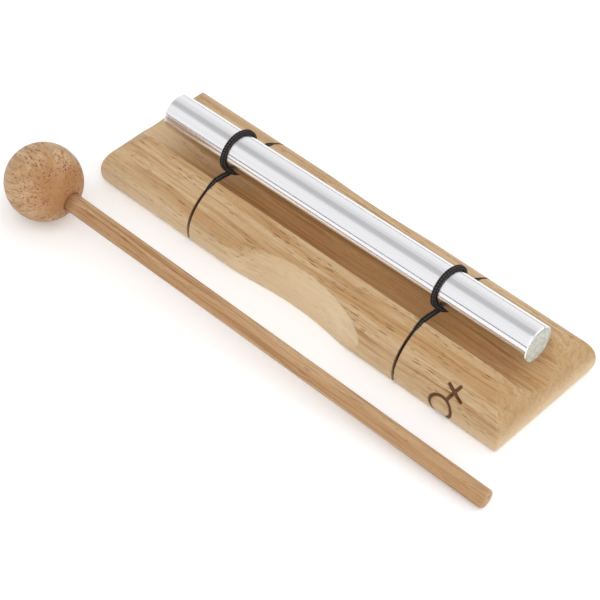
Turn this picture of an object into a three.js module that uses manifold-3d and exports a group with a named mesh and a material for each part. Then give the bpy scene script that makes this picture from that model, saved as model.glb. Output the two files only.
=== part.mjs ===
// A chime bar: a solid aluminium bar slung over a hollowed wooden block in two elastic cords,
// with the wooden mallet that plays it lying in front. Millimetres, +X along the bar,
// -Y towards the mallet, +Z up, origin in the middle of the block's underside.
import * as THREE from 'three';
import { mergeVertices } from 'three/addons/utils/BufferGeometryUtils.js';
import Module from 'manifold-3d';

const wasm = await Module();
wasm.setup();

// Wooden block: a loaf with the same rounded edge on all four sides
const footLength = 213;
const footWidth = 57.8;
const loafHeight = 24.8; // before the trough takes its middle away
const bulgeReach = 1.8; // how far the sides stand out past the foot
const bulgeHeight = 5.8; // where they stand out most
const shoulderReach = 25; // how far in from there the top rounding runs
const edgeSteps = 18;

// Trough along the top, which leaves a ridge on each side of the bar
const ridgeReach = 14.5; // from the middle of the block to the crest of each ridge
const troughFloor = 13.3;
const troughSides = 120;

// Finger scoops sanded into the two long sides with a leaning drum
const scoopRadius = 142;
const scoopFootDepth = 1.9;
const scoopLean = THREE.MathUtils.degToRad(10);
const scoopSweep = THREE.MathUtils.degToRad(24);
const scoopPlace = 1.2; // along the block from its middle
const scoopSteps = 36;

// Cords, and the slots that they lie in
const cordDiameter = 2;
const clearance = 0.3;
const slingPlace = 56; // from the middle of the block to each cord
const slotSideDepth = 2.9;
const slotCrestDepth = 2;
const slotUnderDepth = 3;
const cordSag = 1.85; // how far the bar pulls its cords down below the ridges
const turnPitch = 3; // how far the turn round the bar moves along it
const cordSides = 8;
const cordSteps = 84;
const turnSteps = 40;
const gapSteps = 4; // how finely the turn is measured, against its own steps
const gapShare = 0.3; // of the turn at each end, which are set against each other

// Knot under the block, in a round pocket
const knotLength = 8;
const knotWidth = 5;
const knotHeight = 4.4;
const pocketDiameter = 12;
const pocketDepth = 6.4;
const knotSides = 20;

// Aluminium bar
const barLength = 191;
const barDiameter = 16;
const barChamfer = 0.4;
const barShift = 4; // the bar has slid this far along in its cords
const barTurn = THREE.MathUtils.degToRad(0.75); // and swung this far round, seen from above
const barSides = 72;

// Mallet
const headDiameter = 33;
const boreDepth = 13;
const stickDiameter = 8;
const stickReach = 232.8; // from the middle of the head to the free end
const stickChamfer = 0.8;
const headPlaceX = -110.7;
const headPlaceY = -59.6;
const stickTurn = THREE.MathUtils.degToRad(1.84); // seen from above, off the block's long side
const malletSides = 64;
const headSteps = 30;
const stickSides = 40;

// Every cutting tool runs this far past what it cuts
const overrun = 4;

// Sizes that follow from those above
const cordRadius = cordDiameter / 2;
const slotWidth = cordDiameter + 2 * clearance;
const cordLift = clearance + cordRadius; // from the floor of a slot to the middle of the cord
const shoulder = footWidth / 2 + bulgeReach - shoulderReach;
const shoulderRise = loafHeight - bulgeHeight;
const crestZ = ellipseHeight(ridgeReach - shoulder, shoulderReach, shoulderRise);
const ridgeRise = crestZ - troughFloor;
const troughRadius = (ridgeRise ** 2 + ridgeReach ** 2) / (2 * ridgeRise);
const underCordZ = slotUnderDepth - cordLift;
const cordRing = ringEllipse(cordLift);
const crestCordY = ridgeReach - cordRadius;
const crestCordZ = ellipseHeight(crestCordY - shoulder, cordRing.reach, cordRing.rise);
const barRadius = barDiameter / 2;
const turnRadius = barRadius + cordLift;
const barZ = crestCordZ - cordSag + turnRadius;
const wrap = wrapAngle();

const up = new THREE.Vector3(0, 0, 1);
const wood = new THREE.MeshStandardMaterial({ color: 0xcfae85, roughness: 0.62, metalness: 0 });
const malletWood = new THREE.MeshStandardMaterial({ color: 0xc9a27a, roughness: 0.6, metalness: 0 });
const aluminium = new THREE.MeshStandardMaterial({ color: 0xe4e5e8, roughness: 0.22, metalness: 1 });
const cordCover = new THREE.MeshStandardMaterial({ color: 0x151517, roughness: 0.85, metalness: 0 });

// Height on the top rounding, or on an ellipse inside it, at a distance out from the shoulder
function ellipseHeight(out, reach, rise) {
  return bulgeHeight + rise * Math.sqrt(1 - (out / reach) ** 2);
}

// Half of the ring that a cord or its slot's floor follows inside the block, offset by lift
function ringEllipse(lift) {
  const reach = shoulderReach - slotSideDepth + lift;
  const rise = shoulderRise - slotCrestDepth + lift;
  const under = slotUnderDepth - lift;
  return { reach, rise, under, side: shoulder + reach, corner: bulgeHeight - under };
}

// How far past the bar's lowest line a cord that comes straight from the ridge first meets its turn
function wrapAngle() {
  const drop = barZ - crestCordZ;
  const away = Math.hypot(crestCordY, drop);
  return Math.atan2(crestCordY, drop) - Math.acos(turnRadius / away);
}

// Solids in and out of the boolean library
function solidOf(geometry) {
  const bare = geometry.clone();
  for (const name of ['normal', 'uv']) bare.deleteAttribute(name);
  const merged = mergeVertices(bare.index ? bare.toNonIndexed() : bare, 1e-5);
  return new wasm.Manifold(new wasm.Mesh({
    numProp: 3,
    vertProperties: new Float32Array(merged.attributes.position.array),
    triVerts: new Uint32Array(merged.index.array),
  }));
}

function geometryOf(solid) {
  const mesh = solid.getMesh();
  const geometry = new THREE.BufferGeometry();
  geometry.setAttribute('position', new THREE.BufferAttribute(mesh.vertProperties, mesh.numProp));
  geometry.setIndex(new THREE.BufferAttribute(mesh.triVerts, 1));
  geometry.computeVertexNormals();
  return geometry;
}

// Extrudes an outline drawn in Y and Z along X, evenly on both sides of the middle
function alongX(shape, length, steps) {
  const geometry = new THREE.ExtrudeGeometry(shape, { depth: length, bevelEnabled: false, curveSegments: steps });
  geometry.translate(0, 0, -length / 2);
  const turn = new THREE.Matrix4().makeBasis(
    new THREE.Vector3(0, 1, 0), new THREE.Vector3(0, 0, 1), new THREE.Vector3(1, 0, 0));
  return geometry.applyMatrix4(turn);
}

// The loaf's outline for one direction: flat foot, out to the bulge, then an ellipse up to the top
function loafOutline(footHalf) {
  const inner = footHalf + bulgeReach - shoulderReach;
  const shape = new THREE.Shape();
  shape.moveTo(-footHalf, 0);
  shape.lineTo(footHalf, 0);
  shape.absellipse(footHalf, bulgeHeight, bulgeReach, bulgeHeight, -Math.PI / 2, 0);
  shape.absellipse(inner, bulgeHeight, shoulderReach, shoulderRise, 0, Math.PI / 2);
  shape.absellipse(-inner, bulgeHeight, shoulderReach, shoulderRise, Math.PI / 2, Math.PI);
  shape.absellipse(-footHalf, bulgeHeight, bulgeReach, bulgeHeight, Math.PI, 1.5 * Math.PI);
  return shape;
}

// Two loaf outlines crossed at right angles meet in the mitred corners of the block
function loaf() {
  const long = alongX(loafOutline(footWidth / 2), footLength + 2 * (bulgeReach + overrun), edgeSteps);
  const cross = alongX(loafOutline(footLength / 2), footWidth + 2 * (bulgeReach + overrun), edgeSteps);
  cross.rotateZ(Math.PI / 2);
  return solidOf(long).intersect(solidOf(cross));
}

function trough() {
  const length = footLength + 2 * (bulgeReach + overrun);
  const drum = new THREE.CylinderGeometry(troughRadius, troughRadius, length, troughSides);
  drum.rotateZ(Math.PI / 2);
  drum.translate(0, 0, troughFloor + troughRadius);
  return solidOf(drum);
}

// One side's scoop: the drum's nearest line starts inside the foot and leans in towards the top
function scoop(side) {
  const shape = new THREE.Shape();
  shape.absarc(0, scoopRadius, scoopRadius, -Math.PI / 2 - scoopSweep, -Math.PI / 2 + scoopSweep);
  const height = (loafHeight + 2 * overrun) / Math.cos(scoopLean);
  const geometry = new THREE.ExtrudeGeometry(shape, {
    depth: height, bevelEnabled: false, curveSegments: scoopSteps,
  });
  geometry.translate(0, 0, -overrun);
  geometry.rotateZ(Math.PI);
  geometry.rotateX(-scoopLean);
  geometry.translate(0, -(footWidth / 2 - scoopFootDepth), 0);
  if (side > 0) geometry.rotateZ(Math.PI);
  geometry.translate(scoopPlace, 0, 0);
  return solidOf(geometry);
}

function slotFloorOutline() {
  const ring = ringEllipse(0);
  const cornerY = ring.side - ring.corner;
  const path = new THREE.Path();
  path.moveTo(-cornerY, ring.under);
  path.lineTo(cornerY, ring.under);
  path.absarc(cornerY, bulgeHeight, ring.corner, -Math.PI / 2, 0);
  path.absellipse(shoulder, bulgeHeight, ring.reach, ring.rise, 0, Math.PI / 2);
  path.absellipse(-shoulder, bulgeHeight, ring.reach, ring.rise, Math.PI / 2, Math.PI);
  path.absarc(-cornerY, bulgeHeight, ring.corner, Math.PI, 1.5 * Math.PI);
  path.closePath();
  return path;
}

// A saw slot right round the block, less deep over the ridges than down the sides
function cordSlot(x) {
  const outerY = footWidth / 2 + bulgeReach + overrun;
  const shape = new THREE.Shape();
  shape.moveTo(-outerY, -overrun);
  shape.lineTo(outerY, -overrun);
  shape.lineTo(outerY, loafHeight + overrun);
  shape.lineTo(-outerY, loafHeight + overrun);
  shape.closePath();
  shape.holes.push(slotFloorOutline());
  return solidOf(alongX(shape, slotWidth, edgeSteps).translate(x, 0, 0));
}

function knotPocket(x) {
  const height = pocketDepth + overrun;
  const geometry = new THREE.CylinderGeometry(pocketDiameter / 2, pocketDiameter / 2, height, knotSides * 2);
  geometry.rotateX(Math.PI / 2);
  geometry.translate(x, 0, pocketDepth - height / 2);
  return solidOf(geometry);
}

function baseBlock() {
  let solid = loaf().subtract(trough());
  for (const side of [-1, 1]) solid = solid.subtract(scoop(side));
  for (const x of [-slingPlace, slingPlace]) {
    solid = solid.subtract(cordSlot(x)).subtract(knotPocket(x));
  }
  return geometryOf(solid);
}

// A turned piece about Z, from a profile of radius and height that starts and ends on the axis
function turned(profile, sides) {
  return new THREE.LatheGeometry(profile.map(([radius, height]) => new THREE.Vector2(radius, height)), sides)
    .rotateX(Math.PI / 2);
}

function chimeBar() {
  const half = barLength / 2;
  const profile = [
    [0, -half],
    [barRadius - barChamfer, -half],
    [barRadius, -half + barChamfer],
    [barRadius, half - barChamfer],
    [barRadius - barChamfer, half],
    [0, half],
  ];
  return turned(profile, barSides).rotateY(Math.PI / 2).translate(barShift, 0, barZ).rotateZ(barTurn);
}

// Section of a cord, for extruding along its route
function cordSection() {
  const shape = new THREE.Shape();
  for (let i = 0; i < cordSides; i += 1) {
    const angle = (2 * Math.PI * i) / cordSides;
    const point = [cordRadius * Math.cos(angle), cordRadius * Math.sin(angle)];
    if (i === 0) shape.moveTo(...point);
    else shape.lineTo(...point);
  }
  shape.closePath();
  return shape;
}

function cordTube(path, steps) {
  return new THREE.ExtrudeGeometry(cordSection(), { steps, extrudePath: path, bevelEnabled: false });
}

// An ellipse's arc in the plane of a cord, as a curve in space
class RingArc extends THREE.Curve {
  constructor(x, centreY, radiusY, radiusZ, start, end) {
    super();
    Object.assign(this, { x, centreY, radiusY, radiusZ, start, end });
  }

  getPoint(t, target = new THREE.Vector3()) {
    const angle = this.start + t * (this.end - this.start);
    return target.set(this.x, this.centreY + this.radiusY * Math.cos(angle),
      bulgeHeight + this.radiusZ * Math.sin(angle));
  }
}

// A point of the turn round the bar, with its angle counted from the lowest line by way of the back
function turnPoint(x, angle, target = new THREE.Vector3()) {
  const along = turnPitch * (0.5 - angle / (2 * Math.PI));
  target.set(x + along, turnRadius * Math.sin(angle), barZ - turnRadius * Math.cos(angle));
  return target.applyAxisAngle(up, barTurn);
}

// The cord from under the bar over the front ridge, down, across underneath and up the back
function cordRoute(x) {
  const { reach, rise, corner, side, under } = cordRing;
  const cornerY = side - corner;
  const quarter = Math.PI / 2;
  const crest = Math.acos((crestCordY - shoulder) / reach);
  const place = (y, z) => new THREE.Vector3(x, y, z);
  const route = new THREE.CurvePath();
  route.add(new THREE.LineCurve3(turnPoint(x, -wrap), place(-crestCordY, crestCordZ)));
  route.add(new RingArc(x, -shoulder, reach, rise, 2 * quarter - crest, 2 * quarter));
  route.add(new RingArc(x, -cornerY, corner, corner, 2 * quarter, 3 * quarter));
  route.add(new THREE.LineCurve3(place(-cornerY, under), place(cornerY, under)));
  route.add(new RingArc(x, cornerY, corner, corner, -quarter, 0));
  route.add(new RingArc(x, shoulder, reach, rise, 0, crest));
  route.add(new THREE.LineCurve3(place(crestCordY, crestCordZ), turnPoint(x, 4 * quarter + wrap)));
  return route;
}

function knot(x) {
  const geometry = new THREE.SphereGeometry(0.5, knotSides, knotSides / 2);
  geometry.scale(knotWidth, knotLength, knotHeight);
  geometry.translate(x, 0, underCordZ + (knotHeight - cordDiameter) / 2);
  return solidOf(geometry);
}

function slingCord(x) {
  return geometryOf(solidOf(cordTube(cordRoute(x), cordSteps)).add(knot(x)));
}

// One turn round the bar, which starts and ends beside itself, clear of the spans' ends
class TurnRoundBar extends THREE.Curve {
  constructor(x) {
    super();
    this.x = x;
    this.start = clearance / turnRadius - wrap;
    this.sweep = 2 * (Math.PI - this.start);
  }

  getPoint(t, target = new THREE.Vector3()) {
    return turnPoint(this.x, this.start + t * this.sweep, target);
  }
}

// Least distance between the turn's first and last parts, less the cord's own thickness
function gapToItself(route) {
  const points = route.getPoints(turnSteps * gapSteps);
  const near = Math.ceil(points.length * gapShare);
  let least = Infinity;
  for (const a of points.slice(0, near)) {
    for (const b of points.slice(-near)) least = Math.min(least, a.distanceTo(b));
  }
  return least - cordDiameter;
}

function cordTurn(x) {
  const route = new TurnRoundBar(x);
  console.log(`turn at ${x}: least gap to itself ${gapToItself(route).toFixed(2)} mm`);
  return cordTube(route, turnSteps);
}

// The head is turned with its bore for the stick along +Z
function malletHead() {
  const radius = headDiameter / 2;
  const boreRadius = stickDiameter / 2 + clearance;
  const mouth = Math.asin(boreRadius / radius);
  const profile = [];
  for (let i = 0; i <= headSteps; i += 1) {
    const angle = mouth + ((Math.PI - mouth) * (headSteps - i)) / headSteps;
    profile.push([i === 0 ? 0 : radius * Math.sin(angle), radius * Math.cos(angle)]);
  }
  const boreFloor = radius * Math.cos(mouth) - boreDepth;
  profile.push([boreRadius, boreFloor], [0, boreFloor]);
  return turned(profile, malletSides);
}

function malletStick() {
  const radius = stickDiameter / 2;
  const boreRadius = radius + clearance;
  const mouthHeight = Math.sqrt((headDiameter / 2) ** 2 - boreRadius ** 2);
  const inner = mouthHeight - boreDepth + clearance;
  const profile = [
    [0, inner],
    [radius, inner],
    [radius, stickReach - stickChamfer],
    [radius - stickChamfer, stickReach],
    [0, stickReach],
  ];
  return turned(profile, stickSides);
}

// The mallet lies on its head and on the rim of its stick's free end
function layMallet(group) {
  const rim = stickReach - stickChamfer;
  const radius = stickDiameter / 2;
  const dip = Math.asin(headDiameter / 2 / Math.hypot(rim, radius)) - Math.atan2(radius, rim);
  group.rotation.set(0, Math.PI / 2 + dip, stickTurn, 'ZYX');
  group.position.set(headPlaceX, headPlaceY, headDiameter / 2);
}

function named(name, geometry, material) {
  const mesh = new THREE.Mesh(geometry, material);
  mesh.name = name;
  return mesh;
}

const chime = new THREE.Group();
chime.add(named('base_block', baseBlock(), wood));
chime.add(named('chime_bar', chimeBar(), aluminium));
for (const [side, x] of [['left', -slingPlace], ['right', slingPlace]]) {
  chime.add(named(`${side}_cord`, slingCord(x), cordCover));
  chime.add(named(`${side}_cord_turn`, cordTurn(x), cordCover));
}

const mallet = new THREE.Group();
mallet.add(named('mallet_head', malletHead(), malletWood));
mallet.add(named('mallet_stick', malletStick(), malletWood));
layMallet(mallet);
chime.add(mallet);
chime.updateMatrixWorld(true);

export default chime;
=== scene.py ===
import math

import bpy
import numpy as np
from mathutils import Matrix, Vector


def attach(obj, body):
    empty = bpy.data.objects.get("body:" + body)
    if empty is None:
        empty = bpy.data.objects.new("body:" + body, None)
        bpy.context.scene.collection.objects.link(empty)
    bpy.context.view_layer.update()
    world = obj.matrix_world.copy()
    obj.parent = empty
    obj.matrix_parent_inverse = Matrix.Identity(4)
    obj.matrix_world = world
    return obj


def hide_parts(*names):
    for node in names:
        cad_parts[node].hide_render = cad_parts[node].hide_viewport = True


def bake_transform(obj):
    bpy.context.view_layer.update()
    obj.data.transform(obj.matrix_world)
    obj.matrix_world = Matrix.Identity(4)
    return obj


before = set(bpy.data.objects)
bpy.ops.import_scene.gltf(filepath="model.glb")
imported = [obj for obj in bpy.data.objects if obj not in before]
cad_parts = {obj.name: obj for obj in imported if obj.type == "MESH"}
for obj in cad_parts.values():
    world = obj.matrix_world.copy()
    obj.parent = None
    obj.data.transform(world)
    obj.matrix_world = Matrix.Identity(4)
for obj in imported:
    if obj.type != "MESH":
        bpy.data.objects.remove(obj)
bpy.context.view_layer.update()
print("frame loaded:", len(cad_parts), "nodes")

# Camera

shot = {
    "azimuth": 41.35,       # degrees, 0 looks along +Y
    "elevation": 46.17,
    "roll": 2.35,
    "distance": 0.89758,
    "target": (-0.00007, -0.02292, 0.0),
    "focalPixels": 2229.2, "picturePixels": 600, "sensorWidth": 36,
    "clip": (0.05, 20),
}


def link(obj):
    bpy.context.scene.collection.objects.link(obj)
    return obj


# The camera turns about its target, and rolls about its own line of sight
def makeCamera(s):
    a, e, r = (math.radians(s[k]) for k in ("azimuth", "elevation", "roll"))
    data = bpy.data.cameras.new("photoCamera")
    data.sensor_width = s["sensorWidth"]
    data.lens = data.sensor_width * s["focalPixels"] / s["picturePixels"]
    data.clip_start, data.clip_end = s["clip"]
    camera = link(bpy.data.objects.new("photoCamera", data))
    tilt = Matrix.Rotation(math.pi / 2 - e, 4, "X")
    turn = Matrix.Rotation(a, 4, "Z") @ tilt @ Matrix.Rotation(r, 4, "Z")
    away = Matrix.Translation((0, 0, s["distance"]))
    camera.matrix_world = Matrix.Translation(s["target"]) @ turn @ away
    bpy.context.scene.camera = camera


makeCamera(shot)
print("camera placed")

# Sizes shared by several pieces, in millimetres, as the part's source has them

bench = {
    "footLength": 213.0, "footWidth": 57.8, "loafHeight": 24.8,
    "bulgeReach": 1.8, "bulgeHeight": 5.8, "shoulderReach": 25.0,
    "ridgeReach": 14.5, "troughFloor": 13.3,
    "slingPlace": 56.0, "slotSideDepth": 2.9, "slotCrestDepth": 2.0, "slotUnderDepth": 3.0,
    "cordDiameter": 2.0, "clearance": 0.3, "cordSag": 1.85,
    "barLength": 191.0, "barDiameter": 16.0, "barShift": 4.0, "barTurn": math.radians(0.75),
    "headDiameter": 33.0, "boreDepth": 13.0, "stickDiameter": 8.0, "stickReach": 232.8,
    "headPlace": (-110.7, -59.6), "stickTurn": math.radians(1.84), "stickChamfer": 0.8,
}

bulgeZ, bulgeReach, shoulderReach = bench["bulgeHeight"], bench["bulgeReach"], bench["shoulderReach"]
halfLength, halfWidth, sling = bench["footLength"] / 2, bench["footWidth"] / 2, bench["slingPlace"]


# Height of an ellipse: its rise times the root of 1 less the square of the way out over reach
def ellipseHeight(out, reach, rise):
    return bulgeZ + rise * np.sqrt(1 - (out / reach) ** 2)


# Its point at an angle from its widest line: y, z
def ellipsePoint(angle, reach, rise):
    return shoulder + reach * np.cos(angle), bulgeZ + rise * np.sin(angle)


cordRadius = bench["cordDiameter"] / 2
cordLift = bench["clearance"] + cordRadius
shoulder = halfWidth + bulgeReach - shoulderReach
shoulderRise = bench["loafHeight"] - bulgeZ
slotReach = shoulderReach - bench["slotSideDepth"]
slotRise = shoulderRise - bench["slotCrestDepth"]
crestZ = ellipseHeight(bench["ridgeReach"] - shoulder, shoulderReach, shoulderRise)
ridgeRise = crestZ - bench["troughFloor"]
troughRadius = (ridgeRise ** 2 + bench["ridgeReach"] ** 2) / (2 * ridgeRise)
troughAxisZ = bench["troughFloor"] + troughRadius
crestCordY = bench["ridgeReach"] - cordRadius
crestCordZ = ellipseHeight(crestCordY - shoulder, slotReach + cordLift, slotRise + cordLift)
barRadius = bench["barDiameter"] / 2
turnRadius = barRadius + cordLift
barZ = crestCordZ - bench["cordSag"] + turnRadius
barAlong = np.array((math.cos(bench["barTurn"]), math.sin(bench["barTurn"]), 0.0))
barAcross = np.array((-math.sin(bench["barTurn"]), math.cos(bench["barTurn"]), 0.0))


# Goes from low at edge0 to high at edge1, by three times the share's square less twice its cube
def smooth(edge0, edge1, x, low=0.0, high=1.0):
    t = np.clip((x - edge0) / (edge1 - edge0), 0, 1)
    return low + (high - low) * t * t * (3 - 2 * t)


# The lower of two heights, rounded over where they meet within k: less a quarter of k times the
# square of 1 less their gap over k
def softMin(a, b, k):
    h = np.clip(1 - np.abs(a - b) / np.maximum(k, 1e-6), 0, None)
    return np.minimum(a, b) - h * h * k / 4


def unit(rows):
    return rows / np.linalg.norm(rows, axis=-1, keepdims=True)


# Distance along points in a plane
def runAlong(u, v):
    return np.append(0, np.cumsum(np.hypot(np.diff(u), np.diff(v))))


# Mesh helpers, which take millimetres

def meshObject(name, points, faces, material, grain, marks=(), sharpAbove=38.0):
    mesh = bpy.data.meshes.new(name)
    mesh.from_pydata(points.reshape(-1, 3) * 0.001, [], faces)
    for markName, values in marks:
        layer = mesh.attributes.new(markName, "FLOAT", "POINT")
        layer.data.foreach_set("value", values.astype(np.float32).ravel())
    layer = mesh.attributes.new("grain", "FLOAT_VECTOR", "POINT")
    layer.data.foreach_set("vector", grain.astype(np.float32).ravel())
    mesh.shade_smooth()
    mesh.set_sharp_from_angle(angle=math.radians(sharpAbove))
    mesh.materials.append(material)
    return link(bpy.data.objects.new(name, mesh))


# Quads of a grid of rings, with a cap at either end or closed in a loop, wound so that the
# enclosed volume is positive
def ringFaces(points, loop=False):
    rings, around = points.shape[:2]
    i, j = np.meshgrid(np.arange(rings if loop else rings - 1), np.arange(around), indexing="ij")
    nextRing, nextJ = (i + 1) % rings * around, (j + 1) % around
    quads = np.stack((i * around + j, i * around + nextJ, nextRing + nextJ, nextRing + j), -1)
    quads = quads.reshape(-1, 4)
    a, b, c, d = (points.reshape(-1, 3)[quads[:, n]] for n in range(4))
    volume = sum(np.einsum("ij,ij->i", a, np.cross(*pair)).sum() for pair in ((b, c), (c, d)))
    way = -1 if volume < 0 else 1
    first, last = np.arange(around), np.arange(around) + (rings - 1) * around
    caps = [] if loop else [first[::-way].tolist(), last[::way].tolist()]
    return quads[:, ::way].tolist() + caps


# Rings round a path, with their half widths and half depths on its two cross directions
def ringsAlong(path, wide, deep, halfWide, halfDeep, angle):
    return (path[:, None] + (halfWide * np.cos(angle))[..., None] * wide[:, None]
            + (halfDeep * np.sin(angle))[..., None] * deep[:, None])


# Materials

# A colour's 0 to 255 values with the sRGB curve taken off, as the shaders read colours
def linear(r, g, b):
    c = np.array((r, g, b)) / 255
    return tuple(np.where(c > 0.04045, ((c + 0.055) / 1.055) ** 2.4, c / 12.92)) + (1.0,)


# Links sockets to a node's inputs, and sets any other values on them
def feed(node, inputs):
    for key, value in inputs.items():
        if isinstance(value, bpy.types.NodeSocket):
            node.id_data.links.new(value, node.inputs[key])
        else:
            node.inputs[key].default_value = value


# A new node, in the tree of the sockets that it is fed with
def put(kind, inputs, **settings):
    tree = next(v.id_data for v in inputs.values() if isinstance(v, bpy.types.NodeSocket))
    node = tree.nodes.new(kind)
    for key, value in settings.items():
        setattr(node, key, value)
    feed(node, inputs)
    return node


def freshMaterial(name):
    material = bpy.data.materials.new(name)
    material.use_nodes = True
    return material, material.node_tree, material.node_tree.nodes["Principled BSDF"]


def attribute(tree, name, output="Fac"):
    node = tree.nodes.new("ShaderNodeAttribute")
    node.attribute_name = name
    return node.outputs[output]


def scaled(vector, scale, place=(0, 0, 0)):
    return put("ShaderNodeMapping", {"Vector": vector, "Scale": scale, "Location": place}).outputs[0]


def noise(vector, scale, detail=2.0, roughness=0.5, place=(0, 0, 0), output="Fac"):
    return put("ShaderNodeTexNoise", {"Vector": scaled(vector, scale, place), "Scale": 1.0,
                                      "Detail": detail, "Roughness": roughness}).outputs[output]


def spread(value, low, high, toLow=0.0, toHigh=1.0):
    return put("ShaderNodeMapRange", {"Value": value, "From Min": low, "From Max": high,
                                      "To Min": toLow, "To Max": toHigh},
               interpolation_type="SMOOTHSTEP").outputs["Result"]


def calc(operation, a, b=0.0):
    return put("ShaderNodeMath", {0: a, 1: b}, operation=operation).outputs[0]


def vectorCalc(operation, a, b=(0, 0, 0), output="Vector"):
    return put("ShaderNodeVectorMath", {0: a, 1: b}, operation=operation).outputs[output]


def weighed(a, shareA, b, shareB):
    return calc("ADD", calc("MULTIPLY", a, shareA), calc("MULTIPLY", b, shareB))


# A Mix node's colours are its inputs 6 and 7 and its output 2
def mixed(factor, a, b, blend="MIX"):
    return put("ShaderNodeMix", {"Factor": factor, 6: a, 7: b},
               data_type="RGBA", blend_type=blend).outputs[2]


def bumped(height, distance, strength):
    inputs = {"Height": height, "Distance": distance, "Strength": strength}
    return put("ShaderNodeBump", inputs).outputs[0]


# What both woods share. A pattern is its scale per mm along the fibres and across them, its
# place, detail and roughness, and its edges are the values between which it comes in.
woodGrain = {
    "sway": (0.016, 0.045, 0.045), "swayDetail": 1.5,
    "bands": ((0.005, 0.15, 0.15), (0, 0, 0), 2, 0.55), "bandEdges": (0.34, 0.66),
    "streaks": ((0.013, 0.6, 0.6), (3, 7, 1), 3, 0.6), "streakEdges": (0.45, 0.72),
    "hairs": ((0.045, 1.9, 1.9), (1, 2, 5), 2, 0.6), "hairEdges": (0.5, 0.74),
    "flecks": ((0.5, 4.0, 4.0), (4, 8, 2), 2, 0.5), "fleckEdges": (0.35, 0.65),
    "crowd": ((0.03, 0.14, 0.14), (9, 4, 2), 1, 0.5), "crowdEdges": (0.4, 0.62),
    "crowdShares": (0.12, 2.0),     # of a size's usual number, at least and at most
    "vesselEdges": (0.18, 0.36), "faintest": 0.35,
    "troughShadeQuiet": 0.75, "sandAndLightQuiet": 0.7,      # how far these marks close the vessels
    "scorchEdges": (0.3, 0.7), "scorchLeast": 0.92,
    "glossEdges": (0.3, 0.7), "glossSpread": 0.06, "scorchAndShadeRoughness": 0.25,
    "hairRelief": 0.35, "bumpHeight": 0.00008,
}


# Wood from the "grain" attribute, in mm with the fibres along its first axis: bands, streaks,
# hairlines and open vessels. "cross" marks cuts across the fibres. The trough mark paints shade
# into the trough, darker and warmer. The pale mark is sanded wood and painted light. The scorch
# mark is burnt wood, and on the mallet it is a dark joint with painted shade.
def woodMaterial(name, s):
    material, tree, shader = freshMaterial(name)
    g = woodGrain
    grain = attribute(tree, "grain", "Vector")
    cross, troughShade, sandAndPaintedLight, scorchAndShade = (attribute(tree, key) for key in ("cross", "troughShade", "sandAndPaintedLight", "scorchAndShade"))
    sway = noise(grain, g["sway"], g["swayDetail"], output="Color")
    centred = vectorCalc("SUBTRACT", sway, (0.5, 0.5, 0.5))
    offset = vectorCalc("MULTIPLY", centred, (0.0, s["sway"], s["sway"]))
    fibre = vectorCalc("ADD", grain, offset)

    def pattern(key):
        scale, place, detail, roughness = g[key]
        return noise(fibre, scale, detail, roughness, place)

    bands, streaks, hairs, flecks = (pattern(key) for key in ("bands", "streaks", "hairs", "flecks"))
    tone = mixed(spread(bands, *g["bandEdges"]), s["light"], s["deep"])
    for lines, key in ((streaks, "streak"), (hairs, "hair"), (flecks, "fleck")):
        tone = mixed(spread(lines, *g[key + "Edges"], 0.0, s[key]), tone, s["streakTone"])
    tone = mixed(calc("MULTIPLY", cross, s["crossStrength"]), tone, s["crossTone"])
    # painted shade in the trough: its tone multiplies the wood darker and warmer
    tone = mixed(calc("MULTIPLY", troughShade, s["troughShadeStrength"]), tone, s["troughShadeTone"], "MULTIPLY")
    # paler where sanded, and painted light on the lower sides, the trough's left end and the scoops
    tone = mixed(calc("MULTIPLY", sandAndPaintedLight, s["sandAndLightStrength"]), tone, s["pale"])

    # vessels of two sizes, in a share of their cells that follows how crowded they are
    crowd = pattern("crowd")
    fewest, most = g["crowdShares"]
    dashes = []
    for length, width, share, place in s["vessels"]:
        size = (1 / length, 1 / width, 1 / width)
        cells = put("ShaderNodeTexVoronoi", {"Vector": scaled(fibre, size, place), "Scale": 1.0,
                                             "Randomness": 1.0}, feature="F1")
        lots = put("ShaderNodeSeparateColor", {"Color": cells.outputs["Color"]}).outputs
        chance = spread(crowd, *g["crowdEdges"], share * fewest, share * most)
        chosen = calc("LESS_THAN", lots[0], chance)
        core = spread(cells.outputs["Distance"], *g["vesselEdges"], 1.0, 0.0)
        weight = calc("MULTIPLY", chosen, spread(lots[1], 0.0, 1.0, g["faintest"], 1.0))
        dashes.append(calc("MULTIPLY", core, weight))
    quiet = calc("MAXIMUM", calc("MULTIPLY", troughShade, g["troughShadeQuiet"]),
                 calc("MULTIPLY", sandAndPaintedLight, g["sandAndLightQuiet"]))
    faded = calc("MULTIPLY", cross, s["crossFade"])
    kept = calc("MULTIPLY", calc("SUBTRACT", 1.0, quiet), calc("SUBTRACT", 1.0, faded))
    pores = calc("MULTIPLY", calc("MAXIMUM", *dashes), kept)
    tone = mixed(calc("MULTIPLY", pores, s["vesselStrength"]), tone, s["vesselTone"])

    # scorched wood on the block; on the mallet, a dark joint and painted shade where the stick goes
    # into the bore
    scorched = spread(hairs, *g["scorchEdges"], g["scorchLeast"], 1.0)
    tone = mixed(calc("MULTIPLY", scorchAndShade, scorched), tone, s["scorchAndShadeTone"])
    gloss = spread(streaks, *g["glossEdges"], s["roughness"] - g["glossSpread"],
                   s["roughness"] + g["glossSpread"])
    relief = weighed(pores, -1.0, hairs, g["hairRelief"])
    feed(shader, {
        "Base Color": tone,
        "Roughness": calc("ADD", gloss, calc("MULTIPLY", scorchAndShade, g["scorchAndShadeRoughness"])),
        "Specular IOR Level": s["specular"],
        "Normal": bumped(relief, g["bumpHeight"], s["bump"]),
    })
    return material


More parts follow.
